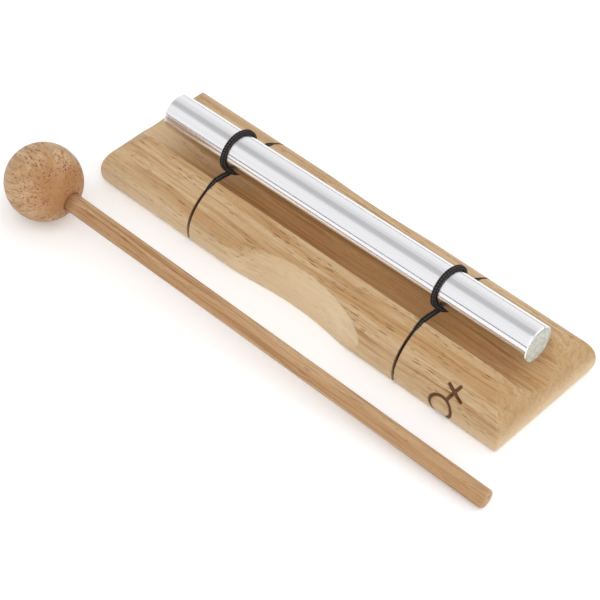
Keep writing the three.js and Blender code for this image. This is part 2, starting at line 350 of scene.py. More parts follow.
# A vessel size is its length and width in mm, the share of its cells that hold one, and a place
blockWood = woodMaterial("blockWood", {
    "sway": 6.0, "light": linear(204, 177, 139), "deep": linear(187, 152, 107), "streak": 0.75,
    "streakTone": linear(158, 113, 64), "hair": 0.6, "fleck": 0.2,
    "crossTone": linear(167, 134, 90), "crossStrength": 0.6, "crossFade": 0.5,
    # the trough's tone multiplies painted shade into it
    "troughShadeTone": (1.0, 0.83, 0.62, 1), "troughShadeStrength": 1.0,
    "vessels": ((9.0, 0.95, 0.26, (0, 0, 0)), (5.5, 0.75, 0.26, (5.3, 2.2, 7.7))),
    "vesselStrength": 0.8, "vesselTone": linear(116, 72, 38),
    "pale": linear(238, 218, 184), "sandAndLightStrength": 0.55, "scorchAndShadeTone": linear(78, 32, 4),
    "roughness": 0.55, "specular": 0.3, "bump": 0.5,
})
malletWood = woodMaterial("malletWood", {
    "sway": 5.0, "light": linear(200, 168, 130), "deep": linear(178, 140, 98), "streak": 0.85,
    "streakTone": linear(146, 102, 60), "hair": 0.7, "fleck": 0.2,
    "crossTone": linear(158, 108, 62), "crossStrength": 0.8, "crossFade": 0.0,
    "troughShadeTone": (1, 1, 1, 1), "troughShadeStrength": 0.0,
    "vessels": ((9.0, 1.4, 0.36, (0, 0, 0)), (5.0, 1.0, 0.4, (5.3, 2.2, 7.7))),
    "vesselStrength": 0.95, "vesselTone": linear(112, 56, 28),
    # on the mallet the scorch tone is a dark joint with painted shade, into the bore
    "pale": linear(214, 185, 153), "sandAndLightStrength": 0.0, "scorchAndShadeTone": linear(120, 72, 38),
    "roughness": 0.5, "specular": 0.35, "bump": 0.5,
})
print("wood mixed")

# Wooden block

block = {
    "searchSteps": 4000,
    "rowStep": 0.72,        # mm between rows up the face
    "signStep": 0.34,       # the same over the burnt sign's height
    "signTop": 20.0,        # mm up the face from its foot edge
    "crestRound": 0.8, "crestRows": 8, "crestSearch": (0.8, 1.45),
    "troughRows": 5, "levelMargins": (0.3, 0.15),
    "underShares": (0.93, 0.75, 0.5),   # of the foot's half width
    "pocketBorder": 9.5, "pocketRows": 9,
    "columnStep": 1.25, "scoopStep": 0.8, "scoopEnd": 45.0,     # mm between columns
    "signColumn": 0.28, "signSpan": (73.4, 89.4), "endStep": 0.7,
    "wallStep": 0.18, "floorStep": 0.04,    # beside a slot's wall
    "cornerRound": 0.7,
    "endRound": 0.7, "endRoundFrom": (20.5, 23.0),  # over the crest at either end
    "scoopRadius": 142.0, "scoopFootDepth": 1.9, "scoopLean": math.radians(10.0), "scoopPlace": 1.2,
    "crispFrom": (-42, 12), "scoopBlur": (0.3, 1.2), "blurFrom": (5, -20),
    # the scoops are paler, partly sanded wood and partly painted light; the trough's left end and the
    # lower sides get painted light
    "scoopSandAndLight": (0.45, 1.0), "scoopEdge": (3.3, 0.3), "scoopMargin": 1.0,
    "mouthPaintedLight": 0.7, "mouthFrom": (-66, -98), "crestFade": 1.2,
    "paintedBounceLight": 0.9, "paleTop": (13.0, 21.0), "paleFrom": (-30, -90), "paleFull": 2.0,
    "slotWidth": 1.3, "lipSearch": (11.0, 15.0), "lipReach": (0.7, 0.5), "lipSteps": 60,
    "wallScorch": 0.6, "faceScorch": (0.35, 1.0), "faceScorchFrom": (3.0, 16.0),
    "troughScorch": (0.0, 0.25), "troughScorchFrom": (19.0, 21.5),
    "pocketRadius": 6.0, "pocketDepth": 6.4,    # for the knots, in the underside
    "pocketStep": 0.75,     # mm between rows and columns there
    "pocketWall": 0.02, "pocketSpread": 0.1, "pocketReach": 0.99,
    "signRing": (80.0, 6.0, 5.25),      # place along the block, height up the face, radius
    "signStrokes": (((82.3, 11.2), (85.3, 18.9)), ((80.7, 17.5), (88.1, 13.7))),
    "signLine": 1.55, "signDepth": 0.5, "signWall": (0.2, 0.14),
    "signBurn": (0.9, 1.0), "signBurnFrom": (0.6, 0.25),
    # painted shade in the trough, weaker towards its ends
    "crossDepth": 0.05, "troughShadeShare": (0.3, 1.0), "troughShadeEnds": (75.0, 40.0),
    "insetShare": 0.97, "hairbreadth": 0.01,
}

# The section's parts, from the middle of the trough to the middle of the foot
inTrough, onCrest, onFace, onBulge, underFoot = range(5)


# Angles on the upper ellipse at equal steps up the face, one of them at the foot's own outset
def faceAngles(s, top):
    fine = np.linspace(0, top, s["searchSteps"])
    path = runAlong(shoulderReach * np.cos(fine), shoulderRise * np.sin(fine))
    turn = s["signTop"] - bulgeZ
    low = np.linspace(0, turn, round(turn / s["signStep"]))
    high = np.linspace(turn, path[-1], round((path[-1] - turn) / s["rowStep"]))[1:]
    angles = np.interp(np.concatenate((low, high)), path, fine)
    level = math.acos(1 - bulgeReach / shoulderReach)
    angles[np.argmin(np.abs(angles - level))] = level
    return angles


# Outset from the foot's outline at a height: out by a quarter of an ellipse up to the widest
# line, and in by the upper ellipse above it
def outset(z):
    low = np.clip(1 - z / bulgeZ, 0, 1)
    high = np.clip((z - bulgeZ) / shoulderRise, 0, 1)
    below = bulgeReach * np.sqrt(1 - low ** 2)
    above = bulgeReach - shoulderReach * (1 - np.sqrt(1 - high ** 2))
    return np.where(z < bulgeZ, below, above)


# The heights of the end's rounding and of its bulge's underside at a place along the block
def endHeights(x):
    out = np.abs(x) - halfLength
    cosine = np.clip(1 - (bulgeReach - out) / shoulderReach, 0, 1)
    top = bulgeZ + shoulderRise * np.sqrt(1 - cosine ** 2)
    share = np.clip(out / bulgeReach, 0, 1)
    return top, bulgeZ * (1 - np.sqrt(1 - share ** 2))


# The crest's rounding, which touches the face and the trough: its centre, the face's angle and
# normal there, and the direction to the trough's axis
def crestCircle(s):
    fine = np.linspace(*s["crestSearch"], s["searchSteps"])
    normal = unit(np.stack((shoulderRise * np.cos(fine), shoulderReach * np.sin(fine)), 1))
    centres = np.stack(ellipsePoint(fine, shoulderReach, shoulderRise), 1) - s["crestRound"] * normal
    toAxis = np.array((0.0, troughAxisZ)) - centres
    k = np.argmin(np.abs(np.linalg.norm(toAxis, axis=1) - troughRadius - s["crestRound"]))
    return centres[k], fine[k], normal[k], unit(toAxis[k])


# Half of the block's section as rows from the middle of the trough round to the middle of the
# foot: y, z, which part each row lies on, its angle there, and its way up the face from the foot
def sectionRows(s):
    centre, crestAngle, outward, inward = crestCircle(s)
    turns = np.linspace(math.atan2(*inward[::-1]), math.atan2(*outward[::-1]), s["crestRows"])[1:-1]
    crest = centre + s["crestRound"] * np.stack((np.cos(turns), np.sin(turns)), 1)
    touchZ = (centre + s["crestRound"] * inward)[1]
    angles = faceAngles(s, crestAngle)
    face = np.stack(ellipsePoint(angles, shoulderReach, shoulderRise), 1)

    # the trough's rows stand level with the face's
    above, below = s["levelMargins"]
    level = (face[:, 1] > bench["troughFloor"] + above) & (face[:, 1] < touchZ - below)
    climbs = np.arccos((troughAxisZ - np.append(face[level, 1], touchZ)) / troughRadius)
    climbs = np.concatenate((np.linspace(0, climbs[0], s["troughRows"])[:-1], climbs))
    trough = np.stack((troughRadius * np.sin(climbs), troughAxisZ - troughRadius * np.cos(climbs)), 1)

    # the bulge's underside has rows at the outsets of the face's
    reachOut = np.clip((bulgeReach - shoulderReach * (1 - np.cos(angles))) / bulgeReach, 0, 1)
    dips = -np.arccos(reachOut[1:np.argmin(reachOut) + 1])
    bulge = np.stack((halfWidth + bulgeReach * np.cos(dips), bulgeZ * (1 + np.sin(dips))), 1)

    pocket = np.arange(s["pocketRows"], -1, -1) * s["pocketStep"]
    underY = np.concatenate((halfWidth * np.array(s["underShares"]), (s["pocketBorder"],), pocket))
    parts = (trough, crest, face[::-1], bulge, np.stack((underY, 0 * underY), 1))
    rowAngle = np.concatenate((climbs, turns, angles[::-1], dips, underY / halfWidth))
    yz = np.concatenate(parts)
    kind = np.concatenate([np.full(len(p), n) for n, p in enumerate(parts)])
    way = runAlong(*yz[::-1].T)[::-1]
    way = way - way[kind == underFoot][0] - (yz[kind == onBulge][-1, 0] - yz[kind == underFoot][0, 0])
    return yz[:, 0], yz[:, 1], kind, rowAngle, way, angles


# Columns along the block: at the ends they match the rows, so that the mitre runs along corners
def columnPlaces(s, angles):
    ends = halfLength + bulgeReach - shoulderReach * (1 - np.cos(angles[1:]))
    inner, half = ends[-1], s["slotWidth"] / 2
    edge, floor = half + s["wallStep"], half - s["floorStep"]
    slot = np.array((-edge, -half, -floor, 0.0, floor, half, edge))
    fine, rim = s["pocketStep"], s["pocketRadius"] + s["pocketStep"]
    wide, scoop, sign = s["columnStep"], s["scoopEnd"], s["signSpan"]
    stretches = (
        (-inner, -sling - rim, wide), (-sling - rim, -sling - edge, fine),
        (-sling + edge, rim - sling, fine), (rim - sling, scoop, s["scoopStep"]),
        (scoop, sling - rim, wide), (sling - rim, sling - edge, fine),
        (sling + edge, sling + rim, fine), (sling + rim, sign[0], wide),
        (*sign, s["signColumn"]), (sign[1], inner, s["endStep"]),
    )
    middle = [np.linspace(a, b, max(round((b - a) / step), 1) + 1)[1:-1] for a, b, step in stretches]
    joints = [[b] for a, b, step in stretches if abs(b) not in (sling - edge, sling + edge, inner)]
    return np.sort(np.concatenate([-ends, ends, slot - sling, slot + sling, *middle, *joints]))


# The scoop's drum, how far out the wood may reach there: the foot's half width, less the depth
# and the lean with height, plus a circle's bow with the way along the block
def scoopLimit(s, x, z):
    along = np.clip(x - s["scoopPlace"], -s["scoopRadius"], s["scoopRadius"])
    bow = s["scoopRadius"] - np.sqrt(s["scoopRadius"] ** 2 - along ** 2)
    lean = s["scoopLean"]
    return halfWidth - s["scoopFootDepth"] - z * math.tan(lean) + bow / math.cos(lean)


# Distance from a stroke's middle line on the unrolled face
def strokeDistance(x, way, stroke):
    a, b = (np.array(p) for p in stroke)
    along = b - a
    t = np.clip(((x - a[0]) * along[0] + (way - a[1]) * along[1]) / (along @ along), 0, 1)
    return np.hypot(x - a[0] - t * along[0], way - a[1] - t * along[1])


# A slot's floor for each row: the section's outline drawn in, met by the trough at a lip
def slotFloor(s, rowY, rowZ, kind, rowAngle):
    corner = bulgeZ - bench["slotUnderDepth"]
    cornerY = shoulder + slotReach - corner
    y, z = rowY.copy(), rowZ.copy()
    face, bulge, under = kind == onFace, kind == onBulge, kind == underFoot
    y[face], z[face] = ellipsePoint(rowAngle[face], slotReach, slotRise)
    y[bulge] = cornerY + corner * np.cos(rowAngle[bulge])
    z[bulge] = bulgeZ + corner * np.sin(rowAngle[bulge])
    outside = rowY > s["pocketBorder"] + s["hairbreadth"]
    y[under] = np.where(outside, rowAngle * cornerY, rowY)[under]
    z[under] = bench["slotUnderDepth"]

    def floorAt(out):
        return ellipseHeight(out - shoulder, slotReach, slotRise)

    def troughAt(out):
        return troughAxisZ - np.sqrt(troughRadius ** 2 - out ** 2)

    fine = np.linspace(*s["lipSearch"], s["searchSteps"] + 1)
    lip = fine[np.argmin(np.abs(floorAt(fine) - troughAt(fine)))]
    inside, past = s["lipReach"]
    near = np.flatnonzero(((kind == inTrough) & (rowY > lip - inside)) | (kind == onCrest)
                          | (face & (y < lip + past)))
    first, last = near[0] - 1, near[-1] + 1
    path = np.concatenate((np.linspace(y[first], lip, s["lipSteps"]),
                           np.linspace(lip, y[last], s["lipSteps"])[1:]))
    heights = np.where(path > lip, floorAt(path), np.minimum(floorAt(path), troughAt(path)))
    run = runAlong(path, heights)
    stops = np.linspace(0, run[-1], last - first + 1)[1:-1]
    y[near], z[near] = np.interp(stops, run, path), np.interp(stops, run, heights)
    return y, z


# The front half of each section, then the back half the other way without its two middles
def bothHalves(half):
    return np.concatenate((half, half[-2:0:-1]))


# Upright corners: a point within reach of the mitre moves on to an arc at its own height
def roundCorners(s, x, y, z, kind, onEnd):
    r, margin = s["cornerRound"], s["hairbreadth"]
    length, width = halfLength + outset(z), halfWidth + outset(z)
    toEnd, toSide = length - np.abs(x), width - y
    toMitre = np.where(onEnd, toSide, toEnd)
    arc = (math.pi / 4) * np.clip(1 - toMitre / r, 0, 1)
    corner = (toMitre < r) & (onEnd | (kind >= onFace)) & (toSide < r + margin) & (toEnd < r + margin)
    outX = np.where(onEnd, np.cos(arc), np.sin(arc))
    outY = np.where(onEnd, np.sin(arc), np.cos(arc))
    return (np.where(corner, np.sign(x) * (length - r + r * outX), x),
            np.where(corner, width - r + r * outY, y))


# Knot pockets: points near the rim move on to it, and those inside lie at its depth
def sinkPockets(s, x, y, z, kind):
    rim, step = s["pocketRadius"], s["pocketStep"]
    offMiddle = np.abs(x) - sling
    fromKnot = np.hypot(offMiddle, y)
    gap = fromKnot - rim
    inside = gap < -1e-9
    pulled = rim + np.where(inside, -1, 1) * (s["pocketWall"] + s["pocketSpread"] * np.abs(gap) / step)
    near = (kind == underFoot) & (np.abs(gap) < step * s["pocketReach"])
    factor = np.where(near, pulled / np.maximum(fromKnot, 1e-6), 1.0)
    return (np.sign(x) * (sling + offMiddle * factor), y * factor,
            np.where((kind == underFoot) & inside, s["pocketDepth"], z))


def makeBlock(s, material):
    halfY, halfZ, halfKind, halfAngle, halfWay, angles = sectionRows(s)
    floorY, floorZ = (bothHalves(a) for a in slotFloor(s, halfY, halfZ, halfKind, halfAngle))
    rowY, rowZ, kind, way = (bothHalves(a) for a in (halfY, halfZ, halfKind, halfWay))
    side = np.concatenate((np.full(len(halfY), -1.0), np.full(len(halfY) - 2, 1.0)))
    x = columnPlaces(s, angles)[:, None]
    top, low = endHeights(x)
    soften = np.where(kind <= onCrest, 1.0, smooth(*s["endRoundFrom"], rowZ) * (kind == onFace))
    soften = s["endRound"] * soften
    z = np.maximum(np.where(soften > 0, softMin(rowZ, top, soften), np.minimum(rowZ, top)), low)
    y = np.broadcast_to(rowY, z.shape)
    onEnd = (rowZ > top) | (rowZ < low)
    alongX, y = roundCorners(s, x, y, z, kind, onEnd)

    # finger scoops, crisper at the right than at the left
    limit = scoopLimit(s, alongX, z)
    scooped = smooth(0.0, smooth(*s["crispFrom"], alongX, *s["scoopEdge"]), y - limit)
    # the scoops are paler: partly sanded wood, partly painted light
    sandAndPaintedLight = np.where(kind >= onFace, scooped * smooth(*s["crispFrom"], alongX, *s["scoopSandAndLight"]), 0.0)
    blur = smooth(*s["blurFrom"], alongX - s["scoopPlace"], *s["scoopBlur"])
    footLimit = np.minimum(scoopLimit(s, alongX, 0.0) / halfWidth, 1)
    cutY = np.where((kind >= onFace) & (limit < y + s["scoopMargin"]), softMin(y, limit, blur), y)
    y = np.where(kind == underFoot, y * footLimit, cutY)

    # painted light: the trough's left end and the lower part of every side, higher up at the left, are
    # painted paler too
    offCrest = smooth(0.0, s["crestFade"], top - rowZ)
    mouth = s["mouthPaintedLight"] * smooth(*s["mouthFrom"], alongX) * offCrest * (kind <= onCrest)
    paleTop = smooth(*s["paleFrom"], alongX, *s["paleTop"])
    pale = s["paintedBounceLight"] * smooth(paleTop, s["paleFull"], z)
    sandAndPaintedLight = np.maximum(np.maximum(sandAndPaintedLight, mouth), pale)

    # the sign, cut along the surface's own normal on the front
    h = s["signLine"] / 2
    cx, cy, cr = s["signRing"]
    away = np.abs(np.hypot(alongX - cx, way - cy) - cr)
    for stroke in s["signStrokes"]:
        away = np.minimum(away, strokeDistance(alongX, way, stroke))
    inner, outer = s["signWall"]
    cut = (1 - smooth(h - inner, h + outer, away)) * (side < 0) * np.isin(kind, (onFace, onBulge))
    tilt = np.arcsin(np.clip((z - bulgeZ) / shoulderRise, -1, 1))
    normalY, normalZ = np.cos(tilt) / shoulderReach, np.sin(tilt) / shoulderRise
    scale = s["signDepth"] * cut / np.hypot(normalY, normalZ)
    y, z = y - scale * normalY, z - scale * normalZ
    inner, outer = s["signBurnFrom"]
    scorchAndShade = cut * smooth(h - inner, h - outer, away, *s["signBurn"])

    # cord slots, scorched down the sides and paler towards the foot
    fromSlot = np.abs(np.abs(x) - sling) - s["slotWidth"] / 2
    inSlot = fromSlot < -s["hairbreadth"]
    y, z = np.where(inSlot, floorY, y), np.where(inSlot, floorZ, z)
    scorch = np.where(kind == inTrough, smooth(*s["troughScorchFrom"], rowZ, *s["troughScorch"]),
                      smooth(*s["faceScorchFrom"], rowZ, *s["faceScorch"]))
    wall = np.where(inSlot, 1.0, np.where(fromSlot < s["hairbreadth"], s["wallScorch"], 0.0))
    scorchAndShade = np.maximum(scorchAndShade, wall * scorch)
    alongX, y, z = sinkPockets(s, alongX, y, z, kind)

    # end grain shows on the end's rounding and in the scoops; painted shade, darker and warmer, lies
    # in the trough, strongest in its middle
    slope = np.cos(np.arcsin(np.clip((top - bulgeZ) / shoulderRise, -1, 1)))
    cross = np.where(onEnd | (z < np.minimum(rowZ, top) - s["crossDepth"]), slope, 0.0)
    fade = smooth(0.0, np.where(x < 0, *s["troughShadeEnds"]), halfLength - np.abs(x), *s["troughShadeShare"])
    troughShade = np.where((kind == inTrough) & ~onEnd, offCrest * fade, 0.0)
    marks = {"scorchAndShade": scorchAndShade, "sandAndPaintedLight": sandAndPaintedLight, "cross": cross, "troughShade": troughShade}
    marks = [(name, np.pad(values, ((1, 1), (0, 0)), mode="edge")) for name, values in marks.items()]

    # an inset ring closes either end flat, as the corners' rounding bends the last ring
    points = np.pad(np.stack((alongX, side * y, z), -1), ((1, 1), (0, 0), (0, 0)), mode="edge")
    for ring, place in ((points[0], alongX.min()), (points[-1], alongX.max())):
        ring[:, 0] = place
        ring[:, 1] *= s["insetShare"]
        ring[:, 2] = (ring[:, 2] + ring[:, 2].mean()) / 2
    return meshObject("woodenBlock", points, ringFaces(points), material, points, marks)


woodenBlock = makeBlock(block, blockWood)
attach(woodenBlock, "base")
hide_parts("base_block")
print("block shaped:", len(woodenBlock.data.polygons), "faces")

# Cords: one braided cord a side, as its run round the block, two free spans and a turn

cord = {
    "radius": 1.0,
    "slotHalf": 0.6,         # half its width in the slot
    "sunk": 0.7,             # from the slot's floor to its middle, down the side
    "raised": 1.8,           # the same at the crest
    "crestHalf": 1.18,       # half its width there
    "riseFrom": (0.68, 1.12), "widenFrom": (0.8, 1.06),     # angles on the section
    "press": 0.35,           # in against the bar
    "strands": 6,
    "pitch": 2.3,            # mm along the cord from one crossing to the next
    "relief": 0.13,
    "smoothness": 24,        # samples between two points of a path
    "runMesh": (0.4, 18),    # mm between rings, and points round them, in the block
    "freeMesh": (0.17, 36),  # the same in the spans and turns
    "endReach": 0.5, "endClosed": 0.8,      # shares of the radius
    "joinBelow": 0.06,       # angle below the crest where the spans begin
    "spanOverlap": (0.1, 0.02), "spanRows": 5, "spanShares": (0.25, 0.7),
    "sideRows": 16, "cornerTop": -0.25, "cornerRows": 5, "underInset": 3, "underRows": 9,
    "knot": (5.0, 8.0, 4.4), "knotCord": 0.85, "knotRings": 48, "knotSides": 16, "knotWinds": 9,
    "fuzzScale": (2.2, 5.0, 1.0), "litFrom": (-0.3, 1.0), "litShares": (0.8, 0.2),
    "dark": linear(8, 6, 6), "grey": linear(88, 82, 78),
    "roughness": (0.75, 0.92), "specular": 0.15, "bump": (0.0001, 0.4),
    # degrees round the bar from its lowest line by way of the back, and mm along the bar; the
    # turn crosses inside the front span
    "turn": ((-8, 0.1), (15, 0.1), (55, 0.2), (100, 0.2), (140, -0.1), (178, -0.5), (206, -0.8),
             (232, -0.95), (256, -1.05), (276, -1.1), (290, -0.95), (302, -0.45), (313, 0.45),
             (324, 1.4), (336, 2.0), (352, 2.15), (390, 2.1)),
}


# A smooth curve through the points, sampled at even steps along it: between two points it is the
# cubic whose slope at either one is half the way between that point's neighbours
def curveThrough(points, s, step):
    p = np.asarray(points, float)
    ends = np.concatenate((2 * p[:1] - p[1:2], p, 2 * p[-1:] - p[-2:-1]))
    t = np.linspace(0, 1, s["smoothness"], endpoint=False)[None, :, None]
    a, b, c, d = (ends[n:len(p) - 1 + n, None] for n in range(4))
    curve = 0.5 * (2 * b + (c - a) * t + (2 * a - 5 * b + 4 * c - d) * t ** 2
                   + (3 * b - a - 3 * c + d) * t ** 3)
    curve = np.concatenate((curve.reshape(-1, p.shape[1]), p[-1:]))
    run = np.append(0, np.cumsum(np.linalg.norm(np.diff(curve[:, :3], axis=0), axis=1)))
    stops = np.linspace(0, run[-1], max(round(run[-1] / step), 2) + 1)
    return np.stack([np.interp(stops, run, curve[:, n]) for n in range(p.shape[1])], 1), stops


# Two families of strands wind opposite ways: the braid's height is the product of their cosines
def weaveHeight(s, angle, wound):
    return np.cos(s["strands"] / 2 * angle + wound) * np.cos(s["strands"] / 2 * angle - wound)


def braidMesh(name, ring, faces, material, along, angle, weave):
    grain = np.stack(np.broadcast_arrays(along, angle, weave), -1)
    return meshObject(name, ring, faces, material, grain, (("weave", weave),), sharpAbove=70)


# Sweeps the braid along a path whose fourth column is its half width along the block. The radius
# narrows towards a faded end as the root of 1 less a share of the square of the way into it.
def braidedTube(name, points, s, material, mesh, fade=(0.0, 0.0)):
    step, around = mesh
    path, run = curveThrough(points, s, step)
    tangent = unit(np.gradient(path[:, :3], axis=0))
    wide = unit(np.array((1.0, 0, 0)) - tangent[:, :1] * tangent)
    angle = np.linspace(0, 2 * math.pi, around, endpoint=False)[None]
    weave = weaveHeight(s, angle, 2 * math.pi * run[:, None] / s["pitch"])
    left, right = s["radius"] * fade[0], s["radius"] * fade[1]
    taper = np.clip(1 - np.minimum(run / max(left, 1e-6), (run[-1] - run) / max(right, 1e-6)), 0, 1)
    full = np.sqrt(1 - taper ** 2 * s["endClosed"])[:, None]
    relief = s["relief"] * weave
    ring = ringsAlong(path[:, :3], wide, np.cross(tangent, wide),
                      (path[:, 3:4] + relief) * full, (s["radius"] + relief) * full, angle)
    return braidMesh(name, ring, ringFaces(ring), material, run[:, None], angle, weave)


# The knot under the block: a trefoil of the same cord, drawn tight. Its path is sin t + 2 sin 2t
# across, cos t - 2 cos 2t along and -sin 3t in height, fitted to the knot's size.
def drawnKnot(name, x, s, material):
    t = np.linspace(0, 2 * math.pi, s["knotRings"], endpoint=False)
    width, length, height = s["knot"]
    r = s["radius"] * s["knotCord"]
    shape = np.stack((np.sin(t) + 2 * np.sin(2 * t), np.cos(t) - 2 * np.cos(2 * t), -np.sin(3 * t)), 1)
    size = np.array(((width / 2 - r) / 3, (length / 2 - r) / 3, height / 2 - r))
    middle = np.array((x, 0, bench["slotUnderDepth"] - cordLift + height / 2 - s["radius"]))
    path = middle + shape * size
    tangent = unit(np.roll(path, -1, 0) - np.roll(path, 1, 0))
    wide = unit(np.cross(tangent, (0, 0, 1.0)))
    angle = np.linspace(0, 2 * math.pi, s["knotSides"], endpoint=False)[None]
    weave = weaveHeight(s, angle, s["knotWinds"] * t[:, None])
    radius = r + s["relief"] * weave
    ring = ringsAlong(path, wide, np.cross(tangent, wide), radius, radius, angle)
    return braidMesh(name, ring, ringFaces(ring, loop=True), material, t[:, None] * 4, angle, weave)


# Painted highlight, grey, on the strands' crowns, and painted shade, nearly black, between them
def cordMaterial(s):
    material, tree, shader = freshMaterial("braidedCord")
    crowns, fuzziness = s["litShares"]
    fuzz = noise(attribute(tree, "grain", "Vector"), s["fuzzScale"], 3)
    crown = spread(attribute(tree, "weave"), *s["litFrom"], 0.0, crowns)
    lit = calc("ADD", crown, calc("MULTIPLY", fuzz, fuzziness))
    feed(shader, {
        "Base Color": mixed(lit, s["dark"], s["grey"]),
        "Roughness": spread(fuzz, 0.3, 0.7, *s["roughness"]),
        "Specular IOR Level": s["specular"],
        "Normal": bumped(fuzz, *s["bump"]),
    })
    return material


# Points of the cord's run in its slot by their angle on the section, and their half widths
def slotPath(x, s, sign, start, stop, count):
    angle = np.linspace(start, stop, count)
    lift = smooth(*s["riseFrom"], angle, s["sunk"], s["raised"])
    y, z = ellipsePoint(angle, slotReach + lift, slotRise + lift)
    half = smooth(*s["widenFrom"], angle, s["slotHalf"], s["crestHalf"])
    return [(x, sign * a, b, c) for a, b, c in zip(y, z, half)]


def makeCord(side, x, s, material):
    under = bench["slotUnderDepth"] - cordLift
    corner = bulgeZ - under
    cornerY = shoulder + slotReach + cordLift - corner
    crest = math.acos((crestCordY - shoulder) / (slotReach + cordLift))
    join = crest - s["joinBelow"]

    def cornerPath(sign, start, stop):
        return [(x, sign * (cornerY + corner * math.cos(a)), bulgeZ + corner * math.sin(a),
                 s["slotHalf"]) for a in np.linspace(start, stop, s["cornerRows"])]

    acrossY = np.linspace(s["underInset"] - cornerY, cornerY - s["underInset"], s["underRows"])
    run = (slotPath(x, s, -1, join, 0, s["sideRows"]) + cornerPath(-1, s["cornerTop"], -math.pi / 2)
           + [(x, y, under, s["slotHalf"]) for y in acrossY]
           + cornerPath(1, -math.pi / 2, s["cornerTop"]) + slotPath(x, s, 1, 0, join, s["sideRows"]))
    ring = braidedTube(side + "CordRing", run, s, material, s["runMesh"])
    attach(ring, "base")

    # a point of the cord's middle at an angle round the bar and a place along it
    def turnPoint(degrees, along):
        a, r = math.radians(degrees), turnRadius - s["press"]
        return ((x + along) * barAlong + r * math.sin(a) * barAcross
                + np.array((0, 0, barZ - r * math.cos(a))))

    loop = [(*turnPoint(*p), s["radius"]) for p in s["turn"]]
    turn = braidedTube(side + "CordTurn", loop, s, material, s["freeMesh"], (s["endReach"],) * 2)
    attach(turn, "slings")

    spans = []
    before, past = s["spanOverlap"]
    for name, sign, inner in (("Front", -1, s["turn"][0]), ("Back", 1, s["turn"][-1])):
        end = turnPoint(*inner)
        rest = np.array((x, sign * crestCordY, crestCordZ + s["raised"] - cordLift))
        nearCrest, nearEnd = (rest + share * (end - rest) for share in s["spanShares"])
        path = (slotPath(x, s, sign, join - before, crest - past, s["spanRows"])
                + [(*nearCrest, s["crestHalf"]), (*nearEnd, s["radius"]), (*end, s["radius"])])
        span = braidedTube(side + "Cord" + name + "Span", path, s, material, s["freeMesh"],
                           (0.0, s["endReach"]))
        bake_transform(span)
        spans.append(span)

    ball = drawnKnot(side + "Knot", x, s, material)
    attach(ball, "base")
    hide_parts(side + "_cord_turn")
    for piece in (ring, ball, *spans):
        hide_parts(side + "_cord")


cordBraid = cordMaterial(cord)
for side, x in (("left", -sling), ("right", sling)):
    makeCord(side, x, cord, cordBraid)
print("cords strung")


# Turned pieces: rings of a profile of places along an axis and radii. The grain is along and
# across that axis, or the fibres where they run another way.
def turnedPiece(name, profile, start, axis, material, fibre=None, sides=128, marks=(), sharpAbove=30):
    axis = unit(np.asarray(axis, float))
    across = unit(np.cross((0, 0, 1.0), axis))
    along, radius = (np.array(p, float)[:, None] for p in zip(*profile))
    angle = np.linspace(0, 2 * math.pi, sides, endpoint=False)[None]
    grain = np.stack(np.broadcast_arrays(along, radius * np.cos(angle), radius * np.sin(angle)), -1)
    away = grain @ np.stack((axis, across, np.cross(axis, across)))
    points = np.asarray(start) + away
    fields = [(markName, np.broadcast_to(np.array(values, float)[:, None], points.shape[:2]))
              for markName, values in marks]
    if fibre is not None:
        fibre = unit(np.asarray(fibre, float))
        side = unit(np.cross(fibre, (0, 1.0, 0)))
        grain = away @ np.stack((fibre, side, np.cross(fibre, side))).T
        facing = np.abs(away @ fibre) / np.linalg.norm(away, axis=2)
        fields.append(("cross", smooth(0.5, 1.0, facing)))
    return meshObject(name, points, ringFaces(points), material, grain, fields, sharpAbove)


# Aluminium bar

bar = {
    "sides": 160, "middleRings": 48, "middleInset": 2,
    "chamfer": 0.4, "edgeRound": 0.08,
    "faceMargin": 0.02,      # faces this near the end count as sawn
    "side": (0.87, 0.87, 0.885, 1.0),
    "sideDark": (0.8265, 0.8265, 0.84075, 1.0),
    "drawScale": (0.006, 1.6, 1.6), "smudgeScale": (0.06, 0.12, 0.12),
    "drawShare": 0.6, "smudgeShare": 0.4, "drawEdges": (0.35, 0.65),
    "roughness": (0.15, 0.2), "drawBump": (0.00001, 0.15),
    "anisotropic": 0.9, "anisotropicTurn": 0.25,
    "sawn": linear(214, 215, 205), "sawnDeep": linear(172, 176, 166),
    "bladeCentre": (0.0, 26.0, -14.0), "arcTurn": 5.0, "arcWander": 9.0,
    "wanderScale": (1.0, 0.35, 0.35), "mottleScale": (1.0, 0.8, 0.8),
    "arcShare": 0.07, "mottleShare": 0.93, "sawnEdges": (0.36, 0.62),
    "sawnRoughness": (0.42, 0.6), "sawnBump": (0.00005, 0.25),
}


# Polished round stock: faint draw streaks along it in gloss and tone
def drawnAluminium(s):
    material, tree, shader = freshMaterial("drawnAluminium")
    grain = attribute(tree, "grain", "Vector")
    streaks = noise(grain, s["drawScale"], 4, 0.6)
    smudges = noise(grain, s["smudgeScale"], 2)
    gloss = weighed(streaks, s["drawShare"], smudges, s["smudgeShare"])
    # fine grinding rings round the bar blur what it mirrors along its length
    normal = tree.nodes.new("ShaderNodeNewGeometry").outputs["Normal"]
    feed(shader, {
        "Base Color": mixed(spread(streaks, *s["drawEdges"]), s["side"], s["sideDark"]),
        "Metallic": 1.0,
        "Roughness": spread(gloss, *s["drawEdges"], *s["roughness"]),
        "Anisotropic": s["anisotropic"],
        "Anisotropic Rotation": s["anisotropicTurn"],
        "Tangent": vectorCalc("CROSS_PRODUCT", normal, tuple(barAlong)),
        "Normal": bumped(streaks, *s["drawBump"]),
    })
    return material


